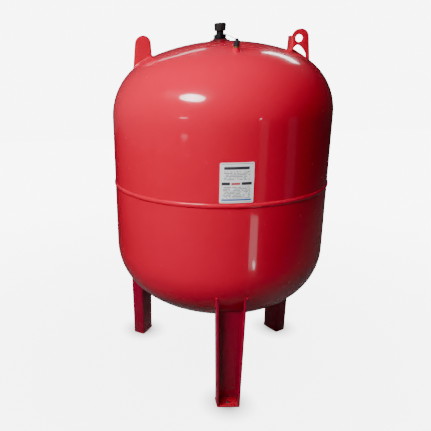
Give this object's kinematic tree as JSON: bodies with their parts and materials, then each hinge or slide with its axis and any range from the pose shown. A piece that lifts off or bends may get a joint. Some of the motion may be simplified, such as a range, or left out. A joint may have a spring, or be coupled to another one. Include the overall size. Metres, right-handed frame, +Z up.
{
  "type": "expansion vessel",
  "caption": "Upright round steel expansion vessel on channel legs, with domed ends, a waist weld, lifting lugs, a charging valve on top and a bolted water flange below.",
  "frame": {"origin": "on the vessel's axis, at the level of the surface it stands on", "axes": "+Z up along the vessel's axis; the front leg and the rating label face -Y; the lifting lugs lie along X"},
  "size_m": [0.605, 0.605, 1.0088],
  "materials": {
    "red_paint": "glossy baked enamel",
    "black_plastic": "satin moulded plastic",
    "zinc_steel": "zinc plated",
    "brass": "turned brass",
    "spring_steel": "drawn spring wire",
    "bladder_rubber": "matte moulded EPDM",
    "label_film": "printed white film"
  },
  "bodies": {
    "vessel": {"bladder": "bladder_rubber", "bladder_holder": "zinc_steel", "cap_lanyard": "black_plastic", "flange_bolt_1": "zinc_steel", "flange_bolt_2": "zinc_steel", "flange_bolt_3": "zinc_steel", "flange_bolt_4": "zinc_steel", "flange_bolt_5": "zinc_steel", "flange_bolt_6": "zinc_steel", "flange_bolt_7": "zinc_steel", "flange_bolt_8": "zinc_steel", "flange_plate": "zinc_steel", "flange_washer_1": "zinc_steel", "flange_washer_2": "zinc_steel", "flange_washer_3": "zinc_steel", "flange_washer_4": "zinc_steel", "flange_washer_5": "zinc_steel", "flange_washer_6": "zinc_steel", "flange_washer_7": "zinc_steel", "flange_washer_8": "zinc_steel", "foot_back_left": "red_paint", "foot_back_right": "red_paint", "foot_front": "red_paint", "girth_weld": "red_paint", "leg_back_left": "red_paint", "leg_back_right": "red_paint", "leg_front": "red_paint", "lifting_lug_left": "red_paint", "lifting_lug_right": "red_paint", "lower_shell": "red_paint", "neck_ring": "red_paint", "rating_label": "label_film", "top_boss": "red_paint", "top_nut": "zinc_steel", "top_washer": "zinc_steel", "upper_shell": "red_paint", "valve_body": "brass", "valve_boss": "red_paint", "valve_core": "brass", "valve_spring": "spring_steel", "water_socket": "zinc_steel"},
    "stem_cap": {"top_cap": "black_plastic"},
    "air_cap": {"valve_cap": "black_plastic"},
    "valve_needle": {"valve_pin": "brass"}
  },
  "joints": [
    {"name": "top_cap_lift", "type": "slide", "parent": "vessel", "child": "stem_cap", "axis": [0, 0, 1], "range_m": [0, 0.03]},
    {"name": "valve_cap_lift", "type": "slide", "parent": "vessel", "child": "air_cap", "axis": [0, 0, 1], "range_m": [0, 0.03], "deforming": ["cap_lanyard"]},
    {"name": "valve_pin_press", "type": "slide", "parent": "vessel", "child": "valve_needle", "axis": [0, 0, -1], "range_m": [0, 0.0015], "stiffness_N_per_m": 500, "springref_m": -0.002, "deforming": ["valve_spring"]}
  ]
}
